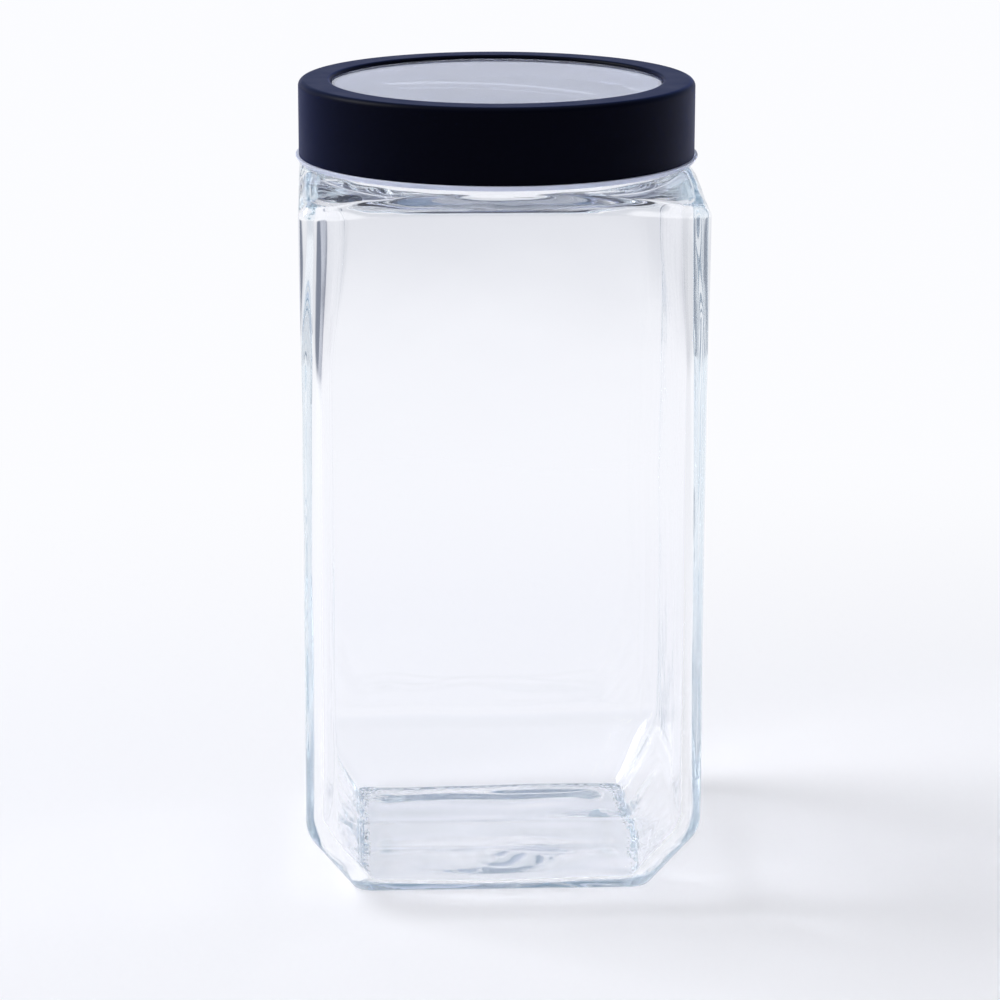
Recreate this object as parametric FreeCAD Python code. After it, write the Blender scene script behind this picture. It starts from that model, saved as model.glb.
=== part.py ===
import FreeCAD, Part
import math
import os
from FreeCAD import Vector

# A square glass canister with a round screw lid.
# The origin is the middle of the base on the table, +Z runs up through the lid.

# Driving dimensions of the jar, in millimetres
body_width = 110.0
body_corner_radius = 8.0
wall_thickness = 3.6
floor_thickness = 5.0
floor_round = 4.0
base_width = 84.0
base_corner_radius = 5.0
base_edge_round = 3.0
base_recess_depth = 1.0
base_bearing_width = 10.0
heel_height = 20.0
heel_round = 6.5
shoulder_height = 200.0
shoulder_round = 6.0

# Driving dimensions of the neck and its thread, angles in degrees
mouth_radius = 47.3
neck_wall = 3.6
neck_height = 19.0
rim_round = 1.1
thread_starts = 4
thread_lead = 16.0
thread_arc = 80.0
thread_height = 1.3
thread_flank_clearance = 0.5
thread_flank_slope = 0.55
thread_drop_from_rim = 7.0
thread_fade = 0.2
thread_end_height = 0.3
thread_bite = 0.5

# Driving dimensions of the lid
thread_clearance = 0.4
skirt_wall = 1.7
flange_thickness = 1.4
flange_reach = 1.0
flange_round = 0.45
flange_gap = 1.4
window_thickness = 2.0
plug_clearance = 0.7
plug_wall = 1.4
plug_depth = 5.0
plug_round = 0.5
seal_thickness = 1.5
seal_overhang = 0.5
seal_clearance = 0.3
seal_round = 0.3
band_thickness = 0.5
band_clearance = 0.2
band_top_round = 1.7
ring_width = 9.0
lip_depth = 1.2
lip_round = 1.0
lip_clearance = 0.25

# Sizes that follow from the jar
body_half = body_width / 2
base_half = base_width / 2
heel_angle = math.atan2(body_half - base_half, heel_height)
heel_wall = wall_thickness / math.cos(heel_angle)
cavity_half = body_half - wall_thickness
cavity_corner_radius = body_corner_radius - wall_thickness
cavity_floor_half = base_half + floor_thickness * math.tan(heel_angle) - heel_wall
cavity_heel_height = heel_height + (heel_wall - wall_thickness) / math.tan(heel_angle)
cavity_top = shoulder_height - wall_thickness
cavity_round = shoulder_round - wall_thickness / 2
neck_radius = mouth_radius + neck_wall
rim_height = shoulder_height + neck_height

# Sizes that follow from the neck
skirt_inner_radius = neck_radius + thread_height + thread_clearance
skirt_outer_radius = skirt_inner_radius + skirt_wall
band_inner_radius = skirt_outer_radius + band_clearance
band_outer_radius = band_inner_radius + band_thickness
window_radius = band_outer_radius - ring_width
skirt_top_round = band_top_round + band_clearance
flange_radius = band_outer_radius + flange_reach
flange_bottom = shoulder_height + flange_gap
band_bottom = flange_bottom + flange_thickness
plate_bottom = rim_height + seal_thickness
plate_top = plate_bottom + window_thickness
band_top = plate_top + band_thickness
plug_outer_radius = mouth_radius - plug_clearance
plug_inner_radius = plug_outer_radius - plug_wall
plug_bottom = plate_bottom - plug_depth
lip_bottom = band_top - lip_depth
thread_middle = rim_height - thread_drop_from_rim
thread_spacing = thread_lead / thread_starts
thread_mean_width = thread_spacing / 2 - thread_flank_clearance
thread_foot_width = thread_mean_width + thread_flank_slope
thread_crest_width = thread_mean_width - thread_flank_slope

thread_sections = 10
axis_foot = Vector(0, 0, 0)
up = Vector(0, 0, 1)


def rounded_square(half_width, corner_radius, height):
    """Closed level outline of a square with rounded corners."""
    edges = []
    straight = half_width - corner_radius
    for quarter in range(4):
        turn = FreeCAD.Rotation(up, 90 * quarter)
        side_start = Vector(half_width, -straight, height)
        side_end = Vector(half_width, straight, height)
        diagonal = straight + corner_radius * math.sqrt(0.5)
        corner_middle = Vector(diagonal, diagonal, height)
        corner_end = Vector(straight, half_width, height)
        points = [turn.multVec(point) for point in (side_start, side_end, corner_middle, corner_end)]
        edges.append(Part.LineSegment(points[0], points[1]).toShape())
        edges.append(Part.Arc(points[1], points[2], points[3]).toShape())
    return Part.Wire(edges)


def rounded_profile(corners):
    """Closed upright outline through (radius, height, rounding) corners."""
    arrivals = []
    departures = []
    edges = []
    for index, (radius, height, rounding) in enumerate(corners):
        before = corners[index - 1]
        after = corners[(index + 1) % len(corners)]
        corner = Vector(radius, 0, height)
        to_before = Vector(before[0], 0, before[1]).sub(corner).normalize()
        to_after = Vector(after[0], 0, after[1]).sub(corner).normalize()
        half_angle = to_before.getAngle(to_after) / 2
        reach = rounding / math.tan(half_angle)
        arrivals.append(corner + to_before * reach)
        departures.append(corner + to_after * reach)
        if rounding > 0:
            inward = (to_before + to_after).normalize()
            middle = corner + inward * (rounding / math.sin(half_angle) - rounding)
            edges.append(Part.Arc(arrivals[-1], middle, departures[-1]).toShape())
    for index, departure in enumerate(departures):
        arrival = arrivals[(index + 1) % len(arrivals)]
        if departure.distanceToPoint(arrival) > 1e-6:
            edges.append(Part.LineSegment(departure, arrival).toShape())
    return Part.Wire(Part.sortEdges(edges)[0])


def turned(corners):
    """Solid of revolution about the upright axis."""
    return Part.Face(rounded_profile(corners)).revolve(axis_foot, up, 360)


def level_edges(shape, height):
    """Edges that lie flat at one height."""
    def is_level(edge):
        box = edge.BoundBox
        return abs(box.ZMin - height) < 1e-4 and abs(box.ZMax - height) < 1e-4
    return [edge for edge in shape.Edges if is_level(edge)]


def square_vessel(low, heel, top):
    """Square block on a sloped heel; each level is (half width, corner radius, height, edge rounding)."""
    foot = rounded_square(*low[:3])
    waist = rounded_square(*heel[:3])
    sloped = Part.makeLoft([foot, waist], True, True)
    upright = Part.Face(waist).extrude(up * (top[2] - heel[2]))
    block = sloped.fuse(upright).removeSplitter()
    for level in (heel, low, top):
        block = block.makeFillet(level[3], level_edges(block, level[2]))
    return block


def thread_ridge(root_radius, crest_radius, middle_height, start_angle):
    """One helical ridge whose ends fade towards its root surface."""
    outward = math.copysign(1, crest_radius - root_radius)
    foot_radius = root_radius - outward * thread_bite
    sections = []
    for step in range(thread_sections + 1):
        share = step / thread_sections
        from_end = min(share, 1 - share)
        rise = thread_end_height + (1 - thread_end_height) * min(1, from_end / thread_fade)
        crest = root_radius + (crest_radius - root_radius) * rise
        turn_share = (share - 0.5) * thread_arc / 360
        middle = middle_height + thread_lead * turn_share
        corners = [
            Vector(foot_radius, 0, middle - thread_foot_width / 2),
            Vector(crest, 0, middle - thread_crest_width / 2),
            Vector(crest, 0, middle + thread_crest_width / 2),
            Vector(foot_radius, 0, middle + thread_foot_width / 2),
        ]
        turn = FreeCAD.Rotation(up, start_angle + 360 * turn_share)
        placed = [turn.multVec(corner) for corner in corners]
        sections.append(Part.makePolygon(placed + placed[:1]))
    return Part.makeLoft(sections, True, False)


def with_thread(body, root_radius, crest_radius, middle_height):
    """Adds one ridge for each start of the thread."""
    for start in range(thread_starts):
        body = body.fuse(thread_ridge(root_radius, crest_radius, middle_height, 360 * start / thread_starts))
    return body


def make_glass_jar():
    outside = square_vessel(
        (base_half, base_corner_radius, 0, base_edge_round),
        (body_half, body_corner_radius, heel_height, heel_round),
        (body_half, body_corner_radius, shoulder_height, shoulder_round),
    )
    neck = turned([
        (0, heel_height, 0),
        (neck_radius, heel_height, 0),
        (neck_radius, rim_height, rim_round),
        (0, rim_height, 0),
    ])
    cavity = square_vessel(
        (cavity_floor_half, cavity_corner_radius, floor_thickness, floor_round),
        (cavity_half, cavity_corner_radius, cavity_heel_height, cavity_round),
        (cavity_half, cavity_corner_radius, cavity_top, cavity_round),
    )
    mouth = Part.makeCylinder(mouth_radius, rim_height - cavity_heel_height, Vector(0, 0, cavity_heel_height))
    recess_half = base_half - base_bearing_width
    recess = Part.Face(rounded_square(recess_half, base_corner_radius, 0)).extrude(up * base_recess_depth)
    jar = with_thread(outside.fuse(neck), neck_radius, neck_radius + thread_height, thread_middle)
    jar = jar.cut(cavity).cut(mouth).cut(recess)
    inner_rim = [
        edge for edge in level_edges(jar, rim_height)
        if abs(edge.Curve.Radius - mouth_radius) < 1e-4
    ]
    return jar.makeFillet(rim_round, inner_rim)


def make_lid_insert():
    groove_outer_radius = window_radius + lip_round + lip_clearance
    groove_inner_radius = window_radius - lip_clearance
    groove_bottom = lip_bottom - lip_clearance
    shell = turned([
        (0, plate_bottom, 0),
        (plug_inner_radius, plate_bottom, 0),
        (plug_inner_radius, plug_bottom, plug_round),
        (plug_outer_radius, plug_bottom, plug_round),
        (plug_outer_radius, plate_bottom, 0),
        (skirt_inner_radius, plate_bottom, 0),
        (skirt_inner_radius, flange_bottom, flange_round),
        (flange_radius, flange_bottom, flange_round),
        (flange_radius, band_bottom, flange_round),
        (skirt_outer_radius, band_bottom, 0),
        (skirt_outer_radius, plate_top, skirt_top_round),
        (groove_outer_radius, plate_top, 0),
        (groove_outer_radius, groove_bottom, 0),
        (groove_inner_radius, groove_bottom, 0),
        (groove_inner_radius, plate_top, 0),
        (0, plate_top, 0),
    ])
    crest_radius = skirt_inner_radius - thread_height
    return with_thread(shell, skirt_inner_radius, crest_radius, thread_middle - thread_spacing / 2)


def make_lid_band():
    inner_top_round = band_top_round - band_thickness
    inner_lip_round = lip_round - band_thickness
    return turned([
        (band_inner_radius, band_bottom, 0),
        (band_outer_radius, band_bottom, 0),
        (band_outer_radius, band_top, band_top_round),
        (window_radius, band_top, lip_round),
        (window_radius, lip_bottom, 0),
        (window_radius + band_thickness, lip_bottom, 0),
        (window_radius + band_thickness, plate_top, inner_lip_round),
        (band_inner_radius, plate_top, inner_top_round),
    ])


def make_seal_ring():
    inner_radius = plug_outer_radius + seal_clearance
    outer_radius = neck_radius + seal_overhang
    return turned([
        (inner_radius, rim_height, seal_round),
        (outer_radius, rim_height, seal_round),
        (outer_radius, plate_bottom, seal_round),
        (inner_radius, plate_bottom, seal_round),
    ])


nodes = {
    "glass_jar": make_glass_jar(),
    "lid_insert": make_lid_insert(),
    "lid_band": make_lid_band(),
    "seal_ring": make_seal_ring(),
}
os.makedirs("parts", exist_ok=True)
for name, shape in nodes.items():
    shape.exportStep(f"parts/{name}.step")
    print(name, "valid", shape.isValid(), "solids", len(shape.Solids), "volume", round(shape.Volume))
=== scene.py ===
import math

import bpy
import numpy as np
from mathutils import Matrix, Vector


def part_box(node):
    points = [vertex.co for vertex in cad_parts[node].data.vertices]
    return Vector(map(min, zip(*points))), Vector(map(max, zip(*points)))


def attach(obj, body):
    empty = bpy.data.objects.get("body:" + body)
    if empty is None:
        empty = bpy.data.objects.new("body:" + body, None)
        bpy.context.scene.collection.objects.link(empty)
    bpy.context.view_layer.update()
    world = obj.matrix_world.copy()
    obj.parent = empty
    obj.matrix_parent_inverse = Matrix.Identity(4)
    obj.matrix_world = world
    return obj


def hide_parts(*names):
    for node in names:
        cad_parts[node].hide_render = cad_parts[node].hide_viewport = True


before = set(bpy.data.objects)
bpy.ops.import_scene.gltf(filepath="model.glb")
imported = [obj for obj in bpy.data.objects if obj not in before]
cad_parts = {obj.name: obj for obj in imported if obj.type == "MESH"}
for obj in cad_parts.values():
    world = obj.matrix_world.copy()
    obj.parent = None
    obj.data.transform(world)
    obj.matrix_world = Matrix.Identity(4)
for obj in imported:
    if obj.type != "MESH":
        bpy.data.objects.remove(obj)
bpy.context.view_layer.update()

# Sizes are in millimetres; meshes are scaled to metres when they are made
MM = 0.001

# Boxes of the construction model's pieces, in metres
jar_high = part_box("glass_jar")[1]
insert_low, insert_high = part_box("lid_insert")
band_low, band_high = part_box("lid_band")
seal_low, seal_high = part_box("seal_ring")

# Body of the jar: walls, heel, floor and the recess under the base
BODY_HALF = jar_high.x / MM
RIM_HEIGHT = jar_high.z / MM
WALL = 3.6
WALL_END = 2.0
HEEL_HEIGHT = 20.0
HEEL_ROUND = 14.0
FLOOR = 2.5
FLOOR_ROUND = 5.0
FLOOR_RISE = 1.2
BASE_HALF = 42.0
BASE_EDGE_ROUND = 0.8
BASE_LEVEL = 0.5
BASE_RECESS_DEPTH = 1.0
BASE_RECESS_HALF = 28.0
BASE_RECESS_SLOPE = 8.0

# Border of small bumps under the base
STIPPLE_WIDTH = 4.6
STIPPLE_FADE = 1.5
STIPPLE_DEPTH = 0.4
STIPPLE_PITCH = 1.7
STIPPLE_RADIUS = STIPPLE_PITCH * 0.55
STIPPLE_JITTER = 0.6
STIPPLE_SEED = 3.0
# Weights and a scale that give each cell of the border its own number, once across and once along
STIPPLE_HASHES = (((127.1, 311.7), 43758.5453), ((269.5, 183.3), 24634.6345))

# Shoulder: its outer edge is an arc of an ellipse, SHOULDER_ROUND wide and SHOULDER_RISE high
SHOULDER_HEIGHT = 200.0
SHOULDER_ROUND = 2.6
SHOULDER_RISE = 4.0
SHOULDER_ARC = math.radians(60)
SHOULDER_WALL = 4.1
SHOULDER_FALL = 3.0
SHOULDER_FALL_REACH = 22.0
SHOULDER_FALL_START = 0.7 * SHOULDER_HEIGHT
CAVITY_ROUND = 2.2

# Corner radius of the outside at a few heights, and of the inside below and above two heights
CORNER_HEIGHTS = (0, 20, 50, 110, 190)
CORNER_RADII = (6.0, 6.5, 6.0, 5.8, 4.6)
CAVITY_CORNER_HEIGHTS = (148, 191)
CAVITY_CORNERS = (5.5, 10.5)
CORNER_LIMIT = 0.9

# Neck and mouth
MOUTH_RADIUS = 47.3
NECK_RADIUS = 50.9
NECK_FILLET = 2.0
NECK_FOOT_GAP = 1.5
NECK_FOOT = SHOULDER_HEIGHT + NECK_FILLET + NECK_FOOT_GAP
RIM_ROUND = 1.1

# Unevenness of the moulded glass: hollow of the walls, and depth, wavelength and seed of the waves
SIDE_HOLLOW = 0.3
OUTER_WAVE = 0.06
OUTER_WAVELENGTH = 38
OUTER_SEED = 11
INNER_WAVE = 0.14
INNER_WAVELENGTH = 70
INNER_SEED = 23
SHOULDER_WAVE = 0.3
SHOULDER_WAVELENGTH = 15
SHOULDER_SEED = 57
FLOOR_WAVE = 0.35
FLOOR_WAVELENGTH = 30
FLOOR_SEED = 41
FLOOR_WAVE_STRETCH = (0.6, 1.6, 1)
WAVE_COUNT = 9
WAVE_SPREAD = (0.6, 1.6)

# How far waves of the outside are sunk, in depths of a wave, so that few crests rise past the surface
OUTER_WAVE_SINK = 2
SHOULDER_WAVE_SINK = 1

# Heights, and rings of the shoulder, over which the unevenness fades out; just below the shoulder is none
STEADY_DEPTH = 12
STEADY_HEIGHT = SHOULDER_HEIGHT - STEADY_DEPTH
OUTER_FADE = 45
INNER_FADE = 30
BASE_FADE = 8
FLOOR_FADE = 10
SHOULDER_FADE_RINGS = 20

# Thread shared by the neck and the lid
THREAD_STARTS = 4
THREAD_LEAD = 16.0
THREAD_ARC = 80.0
THREAD_HEIGHT = 1.3
THREAD_FOOT_WIDTH = 2.05
THREAD_CREST_WIDTH = 0.95
THREAD_BELOW_RIM = 7.0
THREAD_MIDDLE = RIM_HEIGHT - THREAD_BELOW_RIM
THREAD_FADE = 0.2
THREAD_CLEARANCE = 0.4

# Lid: the flange, the plate and the band's edge lie a little lower than in the construction model
FLANGE_DROP = 0.5
PLATE_DROP = 0.5
BAND_DROP = 0.6
FLANGE_RADIUS = insert_high.x / MM
FLANGE_BOTTOM = insert_low.z / MM - FLANGE_DROP
FLANGE_ROUND = 0.12
FLANGE_TAPER = 0.9
FLANGE_SUNK = 0.05
PLATE_TOP = insert_high.z / MM - PLATE_DROP
PLATE_BOTTOM = seal_high.z / MM
BAND_BOTTOM = band_low.z / MM - BAND_DROP
BAND_TOP = band_high.z / MM
BAND_RADIUS = band_high.x / MM
BAND_METAL = 0.5
BAND_TOP_ROUND = 1.7
BAND_EDGE_ROUND = 0.2
RING_WIDTH = 9.0
WINDOW_RADIUS = BAND_RADIUS - RING_WIDTH
WINDOW_EDGE_ROUND = 0.2
LIP_ROUND = 1.0
LIP_DEPTH = 1.2
LIP_GAP = 0.25
SKIRT_WALL = 1.7
SKIRT_INNER = NECK_RADIUS + THREAD_HEIGHT + THREAD_CLEARANCE
SKIRT_OUTER = SKIRT_INNER + SKIRT_WALL
SKIRT_TOP_ROUND = 1.9
PLUG_CLEARANCE = 0.7
PLUG_WALL = 1.4
PLUG_DEPTH = 5.0
PLUG_OUTER = MOUTH_RADIUS - PLUG_CLEARANCE
PLUG_INNER = PLUG_OUTER - PLUG_WALL
PLUG_BOTTOM = PLATE_BOTTOM - PLUG_DEPTH
PLUG_ROUND = 0.5
PLATE_ROUND = 0.4
INSERT_EDGE_ROUND = 0.15
SEAL_CLEARANCE = 0.3
SEAL_OUTER = seal_high.x / MM
SEAL_INNER = PLUG_OUTER + SEAL_CLEARANCE
SEAL_ROUND = 0.3
TOUCH_GAP = 0.03

# Points round each outline of the jar, per side and per corner, and round each turned piece
SIDE_STEPS = 72
CORNER_STEPS = 96
TURNED_STEPS = 360
SIDE_ANGLE = math.radians(38)

# Rings in some stretches of the jar, and where rings lie between the neck and the shoulder
BASE_RINGS = 40
STIPPLE_RINGS = 18
WALL_END_RINGS = 9
EDGE_RINGS = 28
SHOULDER_RINGS = 40
JOIN_SHARES = (0.33, 0.67)

# Half width of the smallest rings, round the middle of the jar and of the lid
JAR_MIDDLE = 1.0
LID_MIDDLE = 0.5

# Spacing of points along straight runs and along arcs
OUTSIDE_STEPS = (2.5, 0.4)
CAVITY_STEPS = (2.0, 0.4)
NECK_STEPS = (0.4, 0.2)
INSERT_STEPS = (0.5, 0.1)
BAND_STEPS = (0.6, 0.1)
SEAL_STEPS = (0.4, 0.1)
LEAST_ARC_STEPS = 4

# Radii closer than this are the same, and normals shorter than this have no direction
SAME = 1e-6
TINY = 1e-9

# Studio, in metres; glass and gloss see the sky's colours by height above the horizon, as a sine
PAPER_WHITE = (0.97, 0.975, 1)
# Navy of the painted shade that mirrored and refracted rays see on the floor
PAINTED_SHADE_NAVY = (0.03, 0.06, 0.13)
PAPER_HALF = 8.0
PAPER_DROP = 0.0002
WORLD_LIGHT = 0.5
SKY_COLOURS = (
    (0.05, (1, 1, 1)),
    (0.2, (0.55, 0.6, 0.75)),
    (0.36, (0.2, 0.3, 0.4)),
    (0.65, (0.12, 0.19, 0.27)),
    (0.8, (0.62, 0.68, 0.78)),
    (1.0, (0.9, 0.92, 0.95)),
)
LAMP_PLACE = (-2.07, 0.63, 1.94)
LAMP_AIM = (0, 0, 0.05)
LAMP_SIZE = 1.26
LAMP_WATTS = 66
LIGHT_BOUNCES = 128

# Camera: angles, distance and aim of the photograph's viewpoint
CAMERA_YAW = math.radians(2.728)
CAMERA_PITCH = math.radians(14.833)
CAMERA_ROLL = math.radians(0.11)
CAMERA_DISTANCE = 1.0404
CAMERA_AIM_ACROSS = 0.00113
CAMERA_AIM_HEIGHT = 0.10213
CAMERA_LENS = 131.25
CAMERA_SENSOR = 36


# Outlines and profiles

def ease(share):
    """Smooth step from 0 to 1."""
    share = np.clip(share, 0, 1)
    return share * share * (3 - 2 * share)


def rounded_path(corners, steps):
    """Points along straight runs joined by arcs; corners are (x, z, rounding)."""
    run_step, arc_step = steps
    spots = [Vector(corner[:2]) for corner in corners]
    points = []

    def run_to(target):
        if not points:
            points.append(target)
            return
        start = points[-1]
        count = max(1, math.ceil((target - start).length / run_step))
        points.extend(start.lerp(target, (i + 1) / count) for i in range(count))

    for index, corner in enumerate(spots):
        rounding = corners[index][2]
        if rounding == 0:
            run_to(corner)
            continue
        back = (spots[index - 1] - corner).normalized()
        ahead = (spots[(index + 1) % len(spots)] - corner).normalized()
        half_angle = math.acos(max(-1, min(1, back.dot(ahead)))) / 2
        reach = rounding / math.tan(half_angle)
        centre = corner + (back + ahead).normalized() * rounding / math.sin(half_angle)
        first = corner + back * reach - centre
        sweep = math.pi - 2 * half_angle
        turn = math.copysign(1, -back.x * ahead.y + back.y * ahead.x)
        count = max(LEAST_ARC_STEPS, math.ceil(rounding * sweep / arc_step))
        run_to(centre + first)
        for i in range(1, count + 1):
            angle = turn * sweep * i / count
            cos, sin = math.cos(angle), math.sin(angle)
            points.append(centre + Vector((first.x * cos - first.y * sin, first.x * sin + first.y * cos)))
    return np.array([[p.x, p.y] for p in points])


def square_outline(half, corner):
    """Rounded squares, one for each pair of half width and corner radius."""
    half = np.asarray(half, float)[:, None]
    corner = np.asarray(corner, float)[:, None]
    straight = half - corner
    along = np.linspace(-1, 1, SIDE_STEPS, endpoint=False)[None, :]
    sweep = np.linspace(0, math.pi / 2, CORNER_STEPS, endpoint=False)[None, :]
    x = np.concatenate([half + 0 * along, straight + corner * np.cos(sweep)], 1)
    y = np.concatenate([straight * along, straight + corner * np.sin(sweep)], 1)
    quarters = [(x, y), (-y, x), (-x, -y), (y, -x)]
    return np.stack([np.concatenate([quarter[axis] for quarter in quarters], 1) for axis in (0, 1)], 2)


def circle_outline(radius):
    """Circles whose points answer to those of the rounded squares."""
    side = np.linspace(-SIDE_ANGLE, SIDE_ANGLE, SIDE_STEPS, endpoint=False)
    corner = np.linspace(SIDE_ANGLE, math.pi / 2 - SIDE_ANGLE, CORNER_STEPS, endpoint=False)
    quarter = np.concatenate([side, corner])
    angles = np.concatenate([quarter + k * math.pi / 2 for k in range(4)])
    return spokes_of(radius, angles)


def spokes_of(radius, angles):
    """One ring of points for each radius, at the same angles."""
    spokes = np.stack([np.cos(angles), np.sin(angles)], 1)
    return np.asarray(radius, float)[:, None, None] * spokes[None]


def with_height(outlines, heights):
    """Outlines lifted to one height each, or to a height for each point."""
    heights = np.asarray(heights, float)
    if heights.ndim == 1:
        heights = np.repeat(heights[:, None], outlines.shape[1], 1)
    return np.concatenate([outlines, heights[:, :, None]], 2)


def turned_rings(profile):
    """Rings of a turned piece from (radius, height) points."""
    angles = np.linspace(0, 2 * math.pi, TURNED_STEPS, endpoint=False)
    return with_height(spokes_of(profile[:, 0], angles), profile[:, 1])


def depth_inside_square(points, half, corner):
    """How far points lie inside a rounded square."""
    past = np.abs(points) - (half - corner)
    outside = np.linalg.norm(np.maximum(past, 0), axis=-1)
    return corner - outside - np.minimum(np.maximum(past[..., 0], past[..., 1]), 0)


def beyond_neck(rings):
    """Distance of points outwards from the neck."""
    return np.linalg.norm(rings[..., :2], axis=2) - NECK_RADIUS


def thread_relief(rings, middle_height):
    """Height of the thread ridges over their root surface."""
    angle = np.degrees(np.arctan2(rings[..., 1], rings[..., 0]))
    relief = np.zeros(angle.shape)
    for start in range(THREAD_STARTS):
        turn = (angle - 360 * start / THREAD_STARTS + 180) % 360 - 180
        share = turn / THREAD_ARC + 0.5
        from_end = np.minimum(share, 1 - share)
        rise = np.clip(from_end / THREAD_FADE, 0, 1)
        off = np.abs(rings[..., 2] - middle_height - THREAD_LEAD * turn / 360)
        flank = (THREAD_FOOT_WIDTH / 2 - off) / (THREAD_FOOT_WIDTH / 2 - THREAD_CREST_WIDTH / 2)
        relief = np.maximum(relief, THREAD_HEIGHT * ease(flank) * np.sqrt(rise))
    return relief


def ripple(points, wavelength, seed):
    """Smooth seeded unevenness, about -1 to 1, from plane waves in many directions."""
    rng = np.random.default_rng(seed)
    total = np.zeros(points.shape[:-1])
    for _ in range(WAVE_COUNT):
        direction = rng.normal(size=3)
        direction /= np.linalg.norm(direction)
        length = wavelength * rng.uniform(*WAVE_SPREAD)
        total += np.cos(points @ direction * 2 * math.pi / length + rng.uniform(0, 2 * math.pi))
    return total / math.sqrt(WAVE_COUNT)


def grid_normals(rings):
    """Outward normals of a skin of rings that wrap round."""
    around = np.roll(rings, -1, 1) - np.roll(rings, 1, 1)
    along = np.gradient(rings, axis=0)
    normals = np.cross(around, along)
    return normals / np.maximum(np.linalg.norm(normals, axis=2, keepdims=True), TINY)


def skin(name, rings, looped=False):
    """Mesh object from rings of points in millimetres, closed by poles or looped on itself."""
    count, around = rings.shape[:2]
    points = rings.reshape(-1, 3)
    rows = np.arange(count if looped else count - 1)
    columns = np.arange(around)
    here = (rows[:, None] * around + columns[None]).ravel()
    beside = (rows[:, None] * around + (columns[None] + 1) % around).ravel()
    up_here = ((rows[:, None] + 1) % count * around + columns[None]).ravel()
    up_beside = ((rows[:, None] + 1) % count * around + (columns[None] + 1) % around).ravel()
    faces = np.stack([here, beside, up_beside, up_here], 1).tolist()
    if not looped:
        poles = np.stack([rings[0].mean(0), rings[-1].mean(0)])
        first_pole = len(points)
        points = np.concatenate([points, poles])
        last = (count - 1) * around
        faces += [[first_pole, (i + 1) % around, i] for i in range(around)]
        faces += [[first_pole + 1, last + i, last + (i + 1) % around] for i in range(around)]
    mesh = bpy.data.meshes.new(name)
    mesh.from_pydata((points * MM).tolist(), [], faces)
    mesh.polygons.foreach_set("use_smooth", [True] * len(mesh.polygons))
    mesh.validate()
    piece = bpy.data.objects.new(name, mesh)
    bpy.context.scene.collection.objects.link(piece)
    return piece


# Glass jar

def shoulder_height_at(points, half, corner, top, rounding, rise):
    """Height of a flat shoulder whose edge is rounded over a width and a rise."""
    inside = depth_inside_square(points, half, corner)
    short = np.clip(1 - inside / rounding, 0, 1)
    return top - rise + rise * np.sqrt(1 - short ** 2)


def shoulder_rings(half, corner, top, rounding, rise, neck_radius):
    """Rings over the rounded edge and across the shoulder to the foot of the neck."""
    angles = np.linspace(0, SHOULDER_ARC, EDGE_RINGS)
    inset = rounding * (1 - np.cos(angles))
    heights = top - rise + rise * np.sin(angles)
    edge = with_height(square_outline(half - inset, corner - inset), heights)
    shares = ease(np.linspace(0, 1, SHOULDER_RINGS)[1:])
    start = edge[-1, :, :2]
    finish = circle_outline([neck_radius])[0]
    across = start[None] + (finish - start)[None] * shares[:, None, None]
    heights = shoulder_height_at(across, half, corner, top, rounding, rise)
    from_neck = np.linalg.norm(across, axis=2) - neck_radius
    short = np.clip(NECK_FILLET - from_neck, 0, NECK_FILLET)
    heights += NECK_FILLET - np.sqrt(NECK_FILLET ** 2 - short ** 2)
    return np.concatenate([edge, with_height(across, heights)])


def neck_rings(first_ring, bore_last_ring):
    """Rings up the threaded neck, over the rim and down the bore."""
    profile = rounded_path([
        (NECK_RADIUS, NECK_FOOT, 0),
        (NECK_RADIUS, RIM_HEIGHT, RIM_ROUND),
        (MOUTH_RADIUS, RIM_HEIGHT, RIM_ROUND),
        (MOUTH_RADIUS, NECK_FOOT, 0),
    ], NECK_STEPS)
    rings = with_height(circle_outline(profile[:, 0]), profile[:, 1])
    outside = (profile[:, 0] > NECK_RADIUS - SAME)[:, None]
    relief = thread_relief(rings, THREAD_MIDDLE) * outside
    rings[..., :2] *= (1 + relief / NECK_RADIUS)[..., None]
    lower = np.stack([first_ring + (rings[0] - first_ring) * share for share in JOIN_SHARES])
    bore = np.stack([rings[-1] + (bore_last_ring - rings[-1]) * share for share in JOIN_SHARES])
    return np.concatenate([lower, rings, bore])


def corner_at(height):
    """Corner radius of the outside by height: rounder at the heel, sharper at the shoulder."""
    height = np.asarray(height, float)
    radius = np.full(height.shape, float(CORNER_RADII[0]))
    for step in range(len(CORNER_HEIGHTS) - 1):
        low, high = CORNER_HEIGHTS[step:step + 2]
        radius += (CORNER_RADII[step + 1] - CORNER_RADII[step]) * ease((height - low) / (high - low))
    return radius


def scatter(cell, weights, scale):
    """A fixed number from 0 to 1 for each cell, unlike its neighbours' numbers."""
    value = np.sin(cell @ np.array(weights) + STIPPLE_SEED) * scale
    return value - np.floor(value)


def stipple(points):
    """Relief of scattered round bumps, 0 to 1, on a level plane."""
    cells = np.floor(points / STIPPLE_PITCH)
    best = np.zeros(points.shape[:-1])
    for dx in (-1, 0, 1):
        for dy in (-1, 0, 1):
            cell = cells + (dx, dy)
            jitter = np.stack([scatter(cell, *numbers) for numbers in STIPPLE_HASHES], -1)
            place = cell + (1 - STIPPLE_JITTER) / 2 + STIPPLE_JITTER * jitter
            gap = np.linalg.norm(points - place * STIPPLE_PITCH, axis=-1)
            best = np.maximum(best, np.clip(1 - (gap / STIPPLE_RADIUS) ** 2, 0, 1))
    return best


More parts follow.
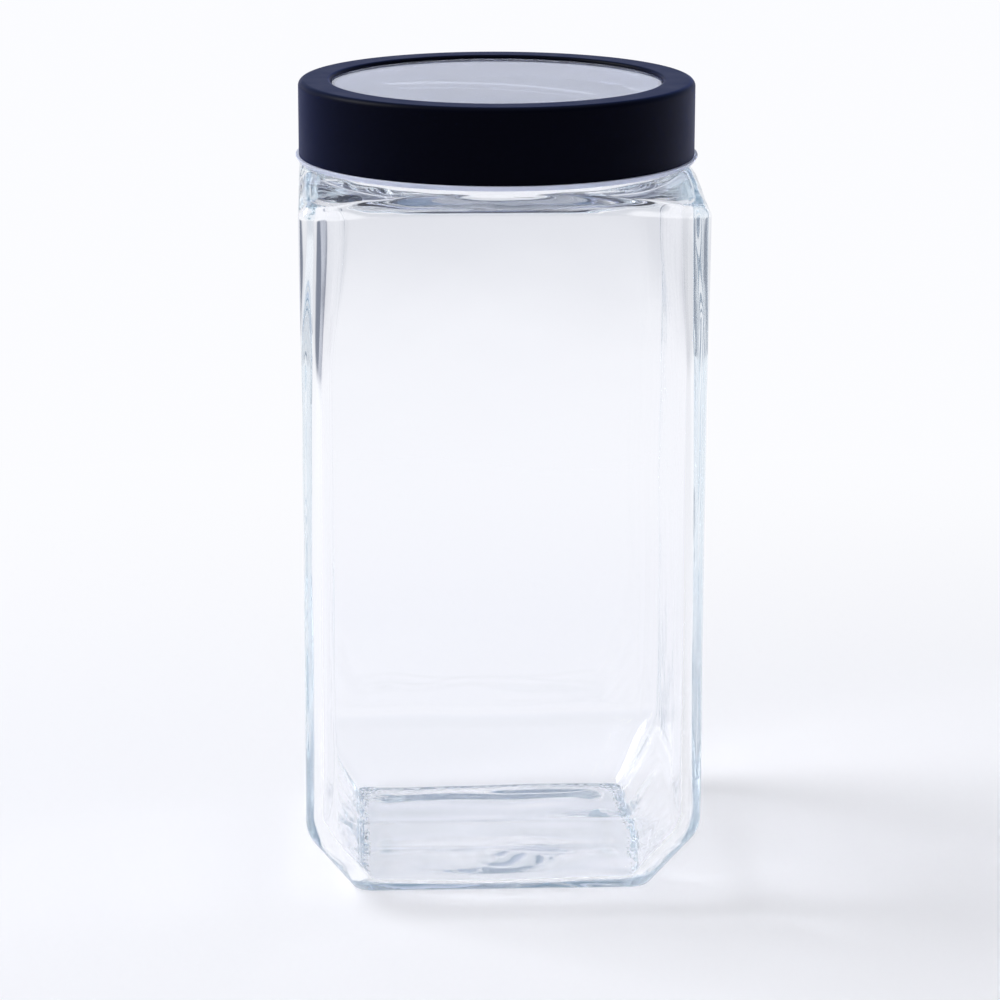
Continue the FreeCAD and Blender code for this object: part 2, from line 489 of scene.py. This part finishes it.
def outside_rings():
    """Rings of the outside from the middle of the base up to the shoulder's edge."""
    wall_top = SHOULDER_HEIGHT - SHOULDER_RISE
    level_end = BASE_HALF - BASE_EDGE_ROUND
    stipple_start = level_end - STIPPLE_WIDTH
    middle = np.linspace(JAR_MIDDLE, stipple_start, BASE_RINGS)
    recess = BASE_RECESS_DEPTH * ease((BASE_RECESS_SLOPE + BASE_RECESS_HALF - middle) / BASE_RECESS_SLOPE)
    under = np.stack([middle, recess], 1)
    border = np.linspace(stipple_start, level_end, STIPPLE_RINGS)[1:-1]
    border = np.stack([border, 0 * border], 1)
    rise = rounded_path([
        (level_end, 0, 0),
        (BASE_HALF, 0, BASE_EDGE_ROUND),
        (BODY_HALF, HEEL_HEIGHT, HEEL_ROUND),
        (BODY_HALF, wall_top - WALL_END, 0),
    ], OUTSIDE_STEPS)
    last = np.linspace(wall_top - WALL_END, wall_top, WALL_END_RINGS)[1:]
    last = np.stack([BODY_HALF + 0 * last, last], 1)
    profile = np.concatenate([under, border, rise, last])
    half, height = profile[:, 0], profile[:, 1]
    corner = np.minimum(corner_at(height), half * CORNER_LIMIT)
    rings = with_height(square_outline(half, corner), height)
    from_start = ease((half - stipple_start) / STIPPLE_FADE)
    from_edge = ease((BASE_HALF - half) / STIPPLE_FADE)
    in_border = from_start * from_edge * (height < BASE_LEVEL)
    rings[..., 2] += STIPPLE_DEPTH * in_border[:, None] * (1 - stipple(rings[..., :2]))
    return rings


def cavity_rings():
    """Rings of the inside: over the shoulder to its edge, and from there to the middle of the floor."""
    slope = (BODY_HALF - BASE_HALF) / HEEL_HEIGHT
    heel_wall = WALL * math.sqrt(1 + slope * slope)
    half_top = BODY_HALF - WALL
    floor_half = BASE_HALF + FLOOR * slope - heel_wall
    heel_top = HEEL_HEIGHT + (heel_wall - WALL) / slope
    low_corner, high_corner = CAVITY_CORNERS
    top = SHOULDER_HEIGHT - SHOULDER_WALL
    wall_top = top - CAVITY_ROUND
    over = shoulder_rings(half_top, high_corner, top, CAVITY_ROUND, CAVITY_ROUND, MOUTH_RADIUS)[::-1]
    first = np.linspace(wall_top, wall_top - WALL_END, WALL_END_RINGS)[1:-1]
    first = np.stack([half_top + 0 * first, first], 1)
    profile = rounded_path([
        (half_top, wall_top - WALL_END, 0),
        (half_top, heel_top, HEEL_ROUND),
        (floor_half, FLOOR, FLOOR_ROUND),
        (JAR_MIDDLE, FLOOR, 0),
    ], CAVITY_STEPS)
    profile = np.concatenate([first, profile])
    half, height = profile[:, 0], profile[:, 1]
    height = height + FLOOR_RISE * ease(1 - half / floor_half) * (height < HEEL_HEIGHT)
    low, high = CAVITY_CORNER_HEIGHTS
    radius = low_corner + (high_corner - low_corner) * ease((height - low) / (high - low))
    radius = np.minimum(radius, half * CORNER_LIMIT)
    return over, with_height(square_outline(half, radius), height)


def lower_corners(rings):
    """Lets the shoulder fall away towards the corners of the jar."""
    near_top = ease((rings[..., 2] - SHOULDER_FALL_START) / (SHOULDER_HEIGHT - SHOULDER_FALL_START))
    rings[..., 2] -= SHOULDER_FALL * ease(beyond_neck(rings) / SHOULDER_FALL_REACH) * near_top


def wall_hollow(heights):
    """How far the walls bend inwards, most at half height."""
    share = np.clip((heights - HEEL_HEIGHT) / (SHOULDER_HEIGHT - HEEL_HEIGHT), 0, 1)
    return SIDE_HOLLOW * np.sin(math.pi * share)


def outer_unevenness(rings):
    """Hollow and inward waves of the outside walls, fading out at the base and below the shoulder."""
    heights = rings[..., 2]
    waves = OUTER_WAVE * (ripple(rings, OUTER_WAVELENGTH, OUTER_SEED) - OUTER_WAVE_SINK)
    on_walls = np.clip(heights / BASE_FADE, 0, 1) * ease((STEADY_HEIGHT - heights) / OUTER_FADE)
    return on_walls * (waves - wall_hollow(heights))


def inner_unevenness(rings):
    """Hollow and waves of the inside walls, fading out below the shoulder."""
    heights = rings[..., 2]
    waves = INNER_WAVE * ripple(rings, INNER_WAVELENGTH, INNER_SEED)
    return ease((STEADY_HEIGHT - heights) / INNER_FADE) * (waves + wall_hollow(heights))


def shoulder_unevenness(rings):
    """Inward waves of the shoulder, fading out at the foot of the neck."""
    level = ripple(rings, SHOULDER_WAVELENGTH, SHOULDER_SEED) - SHOULDER_WAVE_SINK
    return ease(beyond_neck(rings) / SHOULDER_ROUND) * SHOULDER_WAVE * level


def floor_unevenness(rings):
    """Waves of the floor, longer from side to side than from front to back."""
    waves = FLOOR_WAVE * ripple(rings * FLOOR_WAVE_STRETCH, FLOOR_WAVELENGTH, FLOOR_SEED)
    return np.clip((HEEL_HEIGHT - rings[..., 2]) / FLOOR_FADE, 0, 1) * waves


def make_jar():
    outside = outside_rings()
    shoulder = shoulder_rings(
        BODY_HALF, CORNER_RADII[-1], SHOULDER_HEIGHT, SHOULDER_ROUND, SHOULDER_RISE, NECK_RADIUS)[1:]
    inner_shoulder, cavity = cavity_rings()
    lower_corners(outside)
    lower_corners(shoulder)
    neck = neck_rings(shoulder[-1], inner_shoulder[0])
    rings = np.concatenate([outside, shoulder, neck, inner_shoulder, cavity])
    number = np.arange(len(rings))[:, None]
    is_outside = number < len(outside) + len(shoulder)
    is_shoulder = is_outside * ease((number - len(outside)) / SHOULDER_FADE_RINGS)
    is_cavity = number >= len(rings) - len(cavity)
    move = is_outside * outer_unevenness(rings)
    move += is_cavity * inner_unevenness(rings)
    move += is_shoulder * shoulder_unevenness(rings)
    move += is_cavity * floor_unevenness(rings)
    return skin("jar_glass", rings + grid_normals(rings) * move[..., None])


# Lid

def make_insert():
    groove_outer = WINDOW_RADIUS + LIP_ROUND + LIP_GAP
    groove_inner = WINDOW_RADIUS - LIP_GAP
    groove_bottom = BAND_TOP - LIP_DEPTH - LIP_GAP
    profile = rounded_path([
        (LID_MIDDLE, PLATE_BOTTOM, 0),
        (PLUG_INNER, PLATE_BOTTOM, PLATE_ROUND),
        (PLUG_INNER, PLUG_BOTTOM, PLUG_ROUND),
        (PLUG_OUTER, PLUG_BOTTOM, PLUG_ROUND),
        (PLUG_OUTER, PLATE_BOTTOM, INSERT_EDGE_ROUND),
        (SKIRT_INNER, PLATE_BOTTOM, PLATE_ROUND),
        (SKIRT_INNER, FLANGE_BOTTOM, FLANGE_ROUND),
        (FLANGE_RADIUS - FLANGE_TAPER, FLANGE_BOTTOM, FLANGE_ROUND),
        (FLANGE_RADIUS, BAND_BOTTOM + FLANGE_SUNK, FLANGE_ROUND),
        (SKIRT_OUTER, BAND_BOTTOM + FLANGE_SUNK, INSERT_EDGE_ROUND),
        (SKIRT_OUTER, PLATE_TOP - TOUCH_GAP, SKIRT_TOP_ROUND),
        (groove_outer, PLATE_TOP - TOUCH_GAP, INSERT_EDGE_ROUND),
        (groove_outer, groove_bottom, INSERT_EDGE_ROUND),
        (groove_inner, groove_bottom, INSERT_EDGE_ROUND),
        (groove_inner, PLATE_TOP, WINDOW_EDGE_ROUND),
        (LID_MIDDLE, PLATE_TOP, 0),
    ], INSERT_STEPS)
    rings = turned_rings(profile)
    inside = np.abs(profile[:, 0] - SKIRT_INNER) < SAME
    middle = THREAD_MIDDLE - THREAD_LEAD / THREAD_STARTS / 2
    relief = thread_relief(rings, middle) * inside[:, None]
    rings[..., :2] *= (1 - relief / SKIRT_INNER)[..., None]
    return skin("lid_clear_insert", rings)


def frost_flange(piece, material):
    """Gives the flange's outer and lower faces a frosted look."""
    piece.data.materials.append(material)
    for face in piece.data.polygons:
        radius = math.hypot(face.center.x, face.center.y) / MM
        below_band = face.center.z / MM < BAND_BOTTOM + FLANGE_SUNK
        if below_band and radius > SKIRT_INNER + FLANGE_ROUND:
            face.material_index = 1


def make_band():
    inner_radius = BAND_RADIUS - BAND_METAL
    under_top = BAND_TOP - BAND_METAL
    lip_bottom = BAND_TOP - LIP_DEPTH
    profile = rounded_path([
        (inner_radius, BAND_BOTTOM, BAND_EDGE_ROUND),
        (BAND_RADIUS, BAND_BOTTOM, BAND_EDGE_ROUND),
        (BAND_RADIUS, BAND_TOP, BAND_TOP_ROUND),
        (WINDOW_RADIUS, BAND_TOP, LIP_ROUND),
        (WINDOW_RADIUS, lip_bottom, BAND_EDGE_ROUND),
        (WINDOW_RADIUS + BAND_METAL, lip_bottom, BAND_EDGE_ROUND),
        (WINDOW_RADIUS + BAND_METAL, under_top, LIP_ROUND - BAND_METAL),
        (inner_radius, under_top, BAND_TOP_ROUND - BAND_METAL),
    ], BAND_STEPS)
    return skin("lid_black_band", turned_rings(profile), looped=True)


def make_seal():
    low = seal_low.z / MM + TOUCH_GAP
    high = PLATE_BOTTOM - TOUCH_GAP
    profile = rounded_path([
        (SEAL_INNER, low, SEAL_ROUND),
        (SEAL_OUTER, low, SEAL_ROUND),
        (SEAL_OUTER, high, SEAL_ROUND),
        (SEAL_INNER, high, SEAL_ROUND),
    ], SEAL_STEPS)
    return skin("lid_seal", turned_rings(profile), looped=True)


# Materials

def new_material(name):
    material = bpy.data.materials.new(name)
    material.use_nodes = True
    nodes = material.node_tree.nodes
    return material, nodes, material.node_tree.links, nodes["Principled BSDF"]


def add_noise(nodes, links, scale, detail):
    """Noise in the object's own coordinates; scale is in cells per metre."""
    place = nodes.new("ShaderNodeTexCoord")
    noise = nodes.new("ShaderNodeTexNoise")
    noise.inputs["Scale"].default_value = scale
    noise.inputs["Detail"].default_value = detail
    links.new(place.outputs["Object"], noise.inputs["Vector"])
    return noise.outputs["Fac"]


def spread(nodes, links, source, low, high):
    """Maps a 0 to 1 value to a range."""
    span = nodes.new("ShaderNodeMapRange")
    span.inputs["To Min"].default_value = low
    span.inputs["To Max"].default_value = high
    links.new(source, span.inputs["Value"])
    return span.outputs["Result"]


def mix_colours(nodes, links, factor, first, second):
    """Colour between two, by a factor."""
    mix = nodes.new("ShaderNodeMix")
    mix.data_type = "RGBA"
    mix.inputs["A"].default_value = (*first, 1)
    mix.inputs["B"].default_value = (*second, 1)
    links.new(factor, mix.inputs["Factor"])
    return mix.outputs["Result"]


def add_bump(nodes, links, height, shader, strength, distance):
    bump = nodes.new("ShaderNodeBump")
    bump.inputs["Strength"].default_value = strength
    bump.inputs["Distance"].default_value = distance
    links.new(height, bump.inputs["Height"])
    links.new(bump.outputs["Normal"], shader.inputs["Normal"])


def glass_material():
    material, nodes, links, shader = new_material("clear_glass")
    shader.inputs["Base Color"].default_value = (0.985, 0.987, 1, 1)
    shader.inputs["Transmission Weight"].default_value = 1
    shader.inputs["IOR"].default_value = 1.5
    shader.inputs["Roughness"].default_value = 0
    waves = add_noise(nodes, links, scale=45, detail=1.0)
    add_bump(nodes, links, waves, shader, strength=0.25, distance=0.0006)
    absorb = nodes.new("ShaderNodeVolumeAbsorption")
    absorb.inputs["Color"].default_value = (0.62, 0.79, 0.87, 1)
    absorb.inputs["Density"].default_value = 2.2
    links.new(absorb.outputs["Volume"], nodes["Material Output"].inputs["Volume"])
    return material


def plastic_material():
    material, nodes, links, shader = new_material("clear_plastic")
    shader.inputs["Base Color"].default_value = (0.85, 0.88, 1, 1)
    shader.inputs["Transmission Weight"].default_value = 0.9
    shader.inputs["IOR"].default_value = 1.49
    haze = add_noise(nodes, links, scale=160, detail=4.0)
    links.new(spread(nodes, links, haze, low=0.0, high=0.02), shader.inputs["Roughness"])
    waves = add_noise(nodes, links, scale=30, detail=1.0)
    add_bump(nodes, links, waves, shader, strength=0.05, distance=0.0004)
    return material


def frosted_material():
    material, nodes, links, shader = new_material("frosted_plastic")
    shader.inputs["Base Color"].default_value = (0.80, 0.84, 1, 1)
    shader.inputs["Transmission Weight"].default_value = 0.3
    shader.inputs["IOR"].default_value = 1.49
    haze = add_noise(nodes, links, scale=700, detail=3.0)
    links.new(spread(nodes, links, haze, low=0.3, high=0.45), shader.inputs["Roughness"])
    return material


def coat_material():
    material, nodes, links, shader = new_material("black_coat")
    shader.inputs["Specular IOR Level"].default_value = 0.028
    shader.inputs["Sheen Weight"].default_value = 0.22
    shader.inputs["Sheen Roughness"].default_value = 0.4
    shader.inputs["Sheen Tint"].default_value = (0.08, 0.15, 0.75, 1)
    tone = add_noise(nodes, links, scale=900, detail=3.0)
    colour = mix_colours(nodes, links, tone, (0.0006, 0.0007, 0.0026), (0.0014, 0.0016, 0.0052))
    links.new(colour, shader.inputs["Base Color"])
    wear = add_noise(nodes, links, scale=120, detail=4.0)
    links.new(spread(nodes, links, wear, low=0.33, high=0.47), shader.inputs["Roughness"])
    grain = add_noise(nodes, links, scale=2600, detail=2.0)
    add_bump(nodes, links, grain, shader, strength=0.15, distance=0.0001)
    return material


def silicone_material():
    material, nodes, links, shader = new_material("silicone")
    shader.inputs["Transmission Weight"].default_value = 0.35
    shader.inputs["IOR"].default_value = 1.41
    tone = add_noise(nodes, links, scale=300, detail=3.0)
    colour = mix_colours(nodes, links, tone, (0.74, 0.76, 0.80), (0.82, 0.84, 0.87))
    links.new(colour, shader.inputs["Base Color"])
    rough = add_noise(nodes, links, scale=500, detail=2.0)
    links.new(spread(nodes, links, rough, low=0.4, high=0.6), shader.inputs["Roughness"])
    return material


# Studio

def combine(nodes, links, operation, first, second, clamp=False):
    """One number from two, by a math operation."""
    result = nodes.new("ShaderNodeMath")
    result.operation = operation
    result.use_clamp = clamp
    links.new(first, result.inputs[0])
    links.new(second, result.inputs[1])
    return result.outputs[0]


def fade(nodes, links, source, between, values):
    """Smooth change of a number between two places."""
    span = nodes.new("ShaderNodeMapRange")
    span.interpolation_type = "SMOOTHSTEP"
    span.inputs["From Min"].default_value, span.inputs["From Max"].default_value = between
    span.inputs["To Min"].default_value, span.inputs["To Max"].default_value = values
    links.new(source, span.inputs["Value"])
    return span.outputs["Result"]


def camera_ray(nodes):
    """One for rays straight from the camera."""
    return nodes.new("ShaderNodeLightPath").outputs["Is Camera Ray"]


def seen_rays(nodes, links):
    """One for rays that look at the background: from the camera, mirrored or through glass.

    Rays that gather light for a matt surface are left out, so that light comes through the glass.
    """
    path = nodes.new("ShaderNodeLightPath")
    total = path.outputs["Is Camera Ray"]
    for kind in ("Is Glossy Ray", "Is Transmission Ray"):
        total = combine(nodes, links, "MAXIMUM", total, path.outputs[kind])
    return combine(nodes, links, "SUBTRACT", total, path.outputs["Diffuse Depth"], clamp=True)


def split_axes(nodes, links, kind):
    """The X, Y and Z outputs of a kind of coordinates."""
    place = nodes.new("ShaderNodeTexCoord")
    axes = nodes.new("ShaderNodeSeparateXYZ")
    links.new(place.outputs[kind], axes.inputs["Vector"])
    return axes.outputs


def mix_shaders(nodes, links, factor, first, second, output):
    """Two shaders mixed by a factor, as the surface of an output."""
    mix = nodes.new("ShaderNodeMixShader")
    links.new(factor, mix.inputs["Fac"])
    links.new(first, mix.inputs[1])
    links.new(second, mix.inputs[2])
    links.new(mix.outputs["Shader"], output.inputs["Surface"])


def painted_shade_for_reflections(nodes, links):
    """Full to the camera; to mirrored and refracted rays, less far away, in front and on the left:
    painted shade on the floor's glow, which glass and gloss show as dark navy there.
    """
    place = nodes.new("ShaderNodeTexCoord")
    reach = nodes.new("ShaderNodeVectorMath")
    reach.operation = "LENGTH"
    links.new(place.outputs["Object"], reach.inputs[0])
    axes = split_axes(nodes, links, "Object")
    far = fade(nodes, links, reach.outputs["Value"], between=(0.65, 1.3), values=(1, 0.8))
    front = fade(nodes, links, axes["Y"], between=(-0.5, -1.0), values=(1, 0.15))
    left = fade(nodes, links, axes["X"], between=(-0.62, -0.85), values=(1, 0.2))
    shade = combine(nodes, links, "MULTIPLY", far, front)
    shade = combine(nodes, links, "MULTIPLY", shade, left)
    return combine(nodes, links, "MAXIMUM", shade, camera_ray(nodes))


def paper_glow(nodes, links):
    """Share of the floor's own glow, which leaves room for the shadow near the jar; to mirrored and
    refracted rays it is at least 0.68, painted light that brightens the floor seen through the glass
    under and near the jar.
    """
    axes = split_axes(nodes, links, "Object")
    share = fade(nodes, links, axes["Y"], between=(0.05, 0.45), values=(0.43, 1))
    # Painted light: to rays through glass or from mirrors the floor glows at least this much, lightening
    # the shadow under the jar
    painted_light_by_glass = fade(nodes, links, camera_ray(nodes), between=(0, 1), values=(0.68, 0))
    share = combine(nodes, links, "MAXIMUM", share, painted_light_by_glass)
    return combine(nodes, links, "MULTIPLY", seen_rays(nodes, links), share)


def paper_material():
    material, nodes, links, shader = new_material("floor_paper")
    shader.inputs["Base Color"].default_value = (0.86, 0.87, 0.93, 1)
    shader.inputs["Roughness"].default_value = 0.9
    glow = nodes.new("ShaderNodeEmission")
    # Glow colour: white to the camera, and painted navy shade where mirrored and refracted rays look in
    # front, on the left and far away
    colour = mix_colours(nodes, links, painted_shade_for_reflections(nodes, links), PAINTED_SHADE_NAVY, PAPER_WHITE)
    links.new(colour, glow.inputs["Color"])
    share = paper_glow(nodes, links)
    output = nodes["Material Output"]
    mix_shaders(nodes, links, share, shader.outputs["BSDF"], glow.outputs["Emission"], output)
    return material


def make_floor():
    mesh = bpy.data.meshes.new("floor")
    corners = [(x * PAPER_HALF, y * PAPER_HALF, 0) for x, y in ((-1, -1), (1, -1), (1, 1), (-1, 1))]
    mesh.from_pydata(corners, [], [(0, 1, 2, 3)])
    mesh.materials.append(paper_material())
    floor = bpy.data.objects.new("floor", mesh)
    floor.location.z = -PAPER_DROP
    bpy.context.scene.collection.objects.link(floor)


def make_world():
    world = bpy.data.worlds.new("studio")
    bpy.context.scene.world = world
    world.use_nodes = True
    nodes, links = world.node_tree.nodes, world.node_tree.links
    light = nodes["Background"]
    light.inputs["Color"].default_value = (*PAPER_WHITE, 1)
    light.inputs["Strength"].default_value = WORLD_LIGHT
    ramp = nodes.new("ShaderNodeValToRGB")
    stops = ramp.color_ramp.elements
    stops[0].position = SKY_COLOURS[0][0]
    stops[1].position = SKY_COLOURS[-1][0]
    for position, _ in SKY_COLOURS[1:-1]:
        stops.new(position)
    for stop, (_, colour) in zip(stops, SKY_COLOURS):
        stop.color = (*colour, 1)
    links.new(split_axes(nodes, links, "Generated")["Z"], ramp.inputs["Fac"])
    seen = nodes.new("ShaderNodeBackground")
    links.new(ramp.outputs["Color"], seen.inputs["Color"])
    output = nodes["World Output"]
    share = seen_rays(nodes, links)
    mix_shaders(nodes, links, share, light.outputs["Background"], seen.outputs["Background"], output)


def make_lamp():
    data = bpy.data.lights.new("key", "AREA")
    data.shape = "RECTANGLE"
    data.size = LAMP_SIZE
    data.size_y = LAMP_SIZE
    data.energy = LAMP_WATTS
    lamp = bpy.data.objects.new("key", data)
    lamp.location = LAMP_PLACE
    lamp.rotation_mode = "QUATERNION"
    lamp.rotation_quaternion = (Vector(LAMP_AIM) - Vector(LAMP_PLACE)).to_track_quat("-Z", "Y")
    bpy.context.scene.collection.objects.link(lamp)


def make_camera():
    """The photograph's viewpoint: a long lens, a little above the canister and to its left."""
    ahead_flat = Vector((math.sin(CAMERA_YAW), math.cos(CAMERA_YAW), 0))
    right = Vector((math.cos(CAMERA_YAW), -math.sin(CAMERA_YAW), 0))
    ahead = ahead_flat * math.cos(CAMERA_PITCH) - Vector((0, 0, math.sin(CAMERA_PITCH)))
    up = ahead_flat * math.sin(CAMERA_PITCH) + Vector((0, 0, math.cos(CAMERA_PITCH)))
    place = right * CAMERA_AIM_ACROSS + Vector((0, 0, CAMERA_AIM_HEIGHT)) - ahead * CAMERA_DISTANCE
    across = right * math.cos(CAMERA_ROLL) + up * math.sin(CAMERA_ROLL)
    upward = up * math.cos(CAMERA_ROLL) - right * math.sin(CAMERA_ROLL)
    data = bpy.data.cameras.new("camera")
    data.sensor_width = CAMERA_SENSOR
    data.lens = CAMERA_LENS
    camera = bpy.data.objects.new("camera", data)
    turn = Matrix((across, upward, -ahead)).transposed().to_4x4()
    camera.matrix_world = Matrix.Translation(place) @ turn
    bpy.context.scene.collection.objects.link(camera)
    bpy.context.scene.camera = camera


def place_piece(piece, material, body, node):
    piece.data.materials.append(material)
    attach(piece, body)
    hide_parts(node)


place_piece(make_jar(), glass_material(), "jar", "glass_jar")
insert = make_insert()
place_piece(insert, plastic_material(), "lid", "lid_insert")
frost_flange(insert, frosted_material())
place_piece(make_band(), coat_material(), "lid", "lid_band")
place_piece(make_seal(), silicone_material(), "seal", "seal_ring")

make_floor()
make_world()
make_lamp()
make_camera()

scene = bpy.context.scene
scene.view_settings.view_transform = "Standard"
scene.cycles.max_bounces = LIGHT_BOUNCES
scene.cycles.transmission_bounces = LIGHT_BOUNCES
scene.cycles.glossy_bounces = LIGHT_BOUNCES
scene.cycles.blur_glossy = 0
